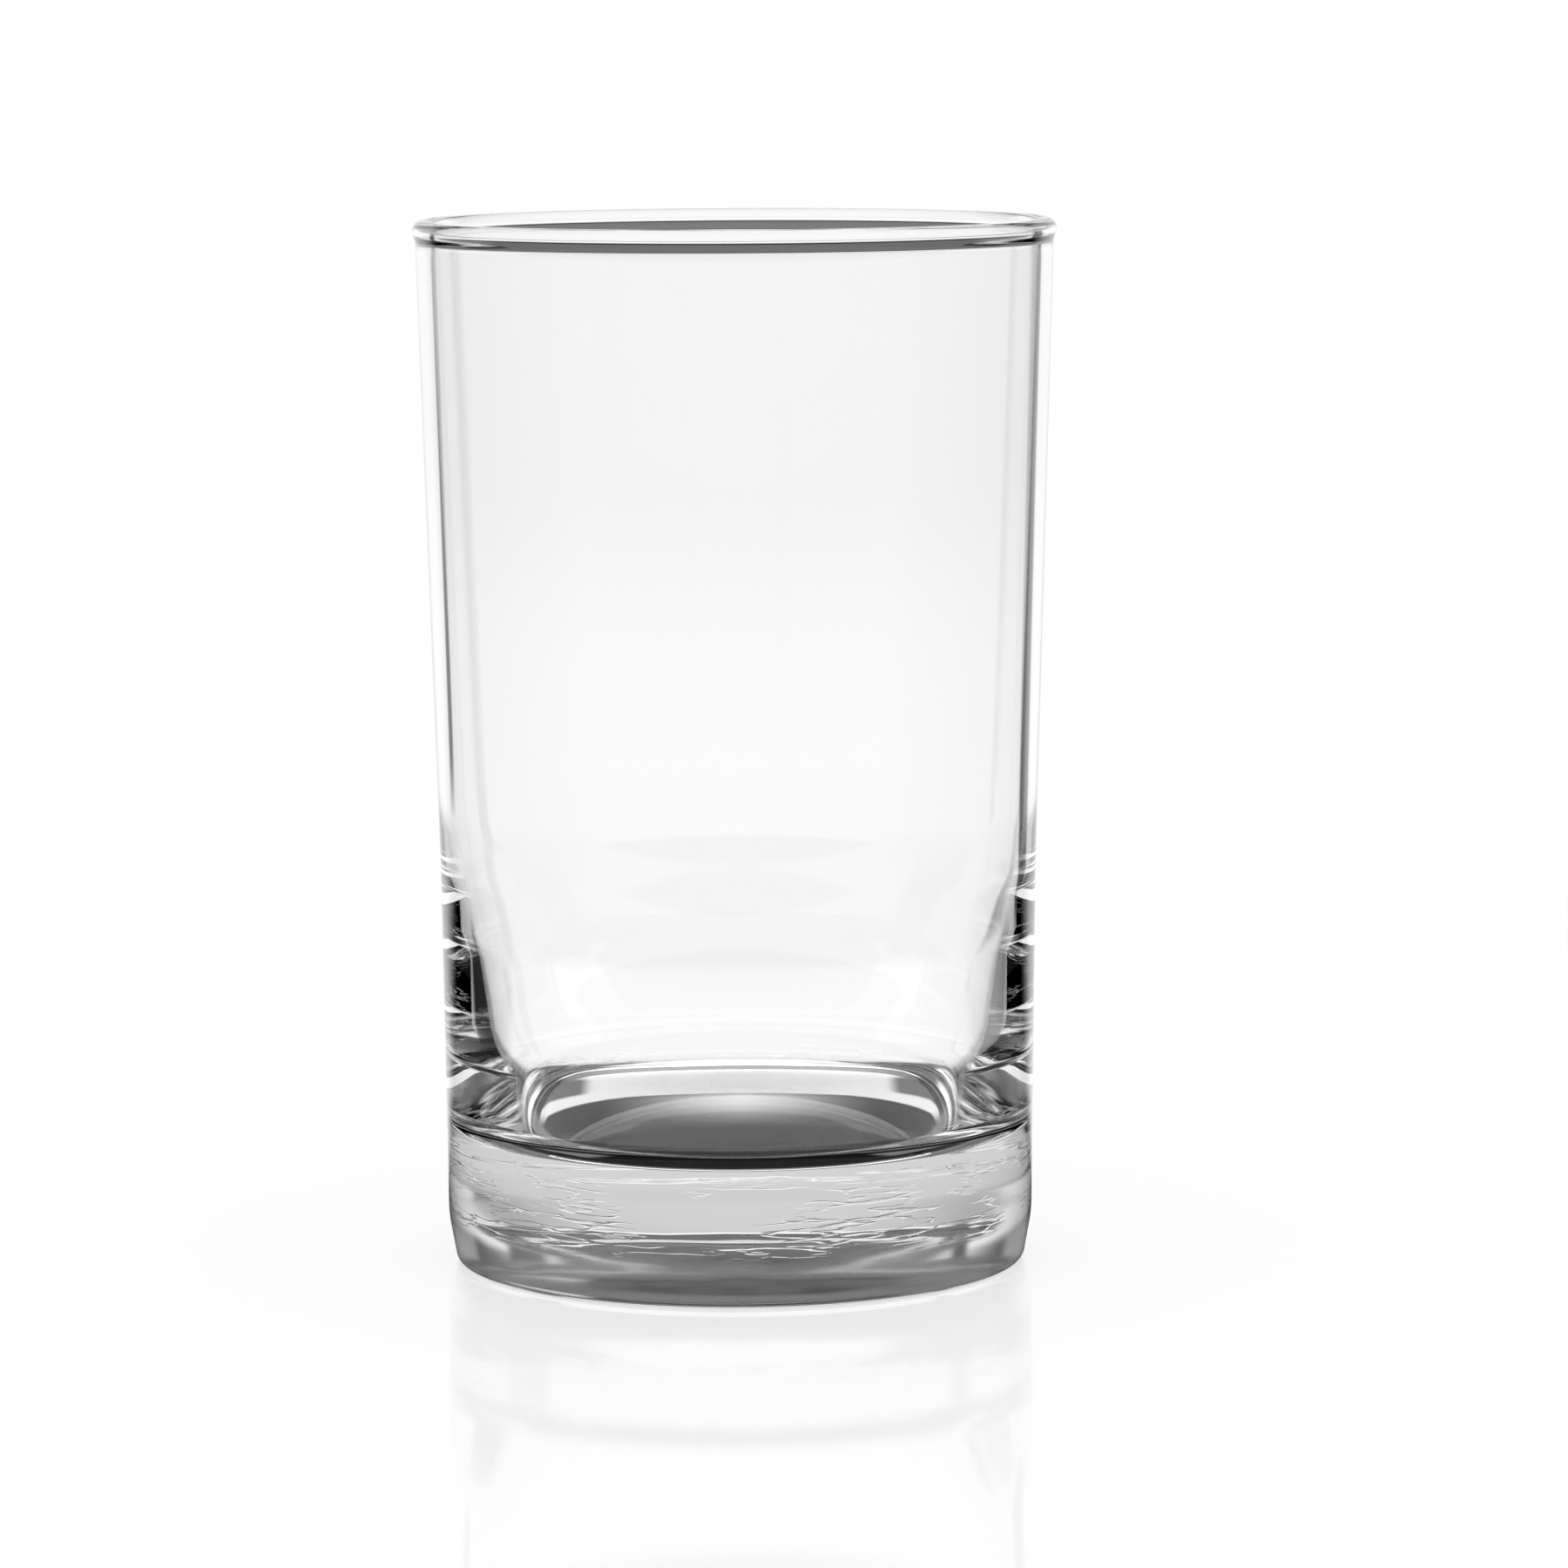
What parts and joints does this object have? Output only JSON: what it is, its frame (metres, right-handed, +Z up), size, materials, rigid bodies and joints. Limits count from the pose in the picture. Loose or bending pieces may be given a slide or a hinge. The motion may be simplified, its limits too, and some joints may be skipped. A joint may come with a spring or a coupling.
{
  "type": "juice glass",
  "caption": "Clear heavy-base juice glass: a straight tumbler that widens slightly upwards, with a beaded rim, a bowl-bottomed cavity and a thick solid base.",
  "frame": {"origin": "on the glass's axis, in the plane of the table that the bearing ring rests on", "axes": "+Z up along the axis of revolution, from the base to the rim; X and Y are free"},
  "size_m": [0.0603, 0.0602, 0.0984],
  "materials": {
    "clear_glass": "clear soda-lime glass, fire-polished, with faint chill wrinkles in the base"
  },
  "bodies": {
    "root": {"tumbler": "clear_glass"}
  },
  "joints": []
}
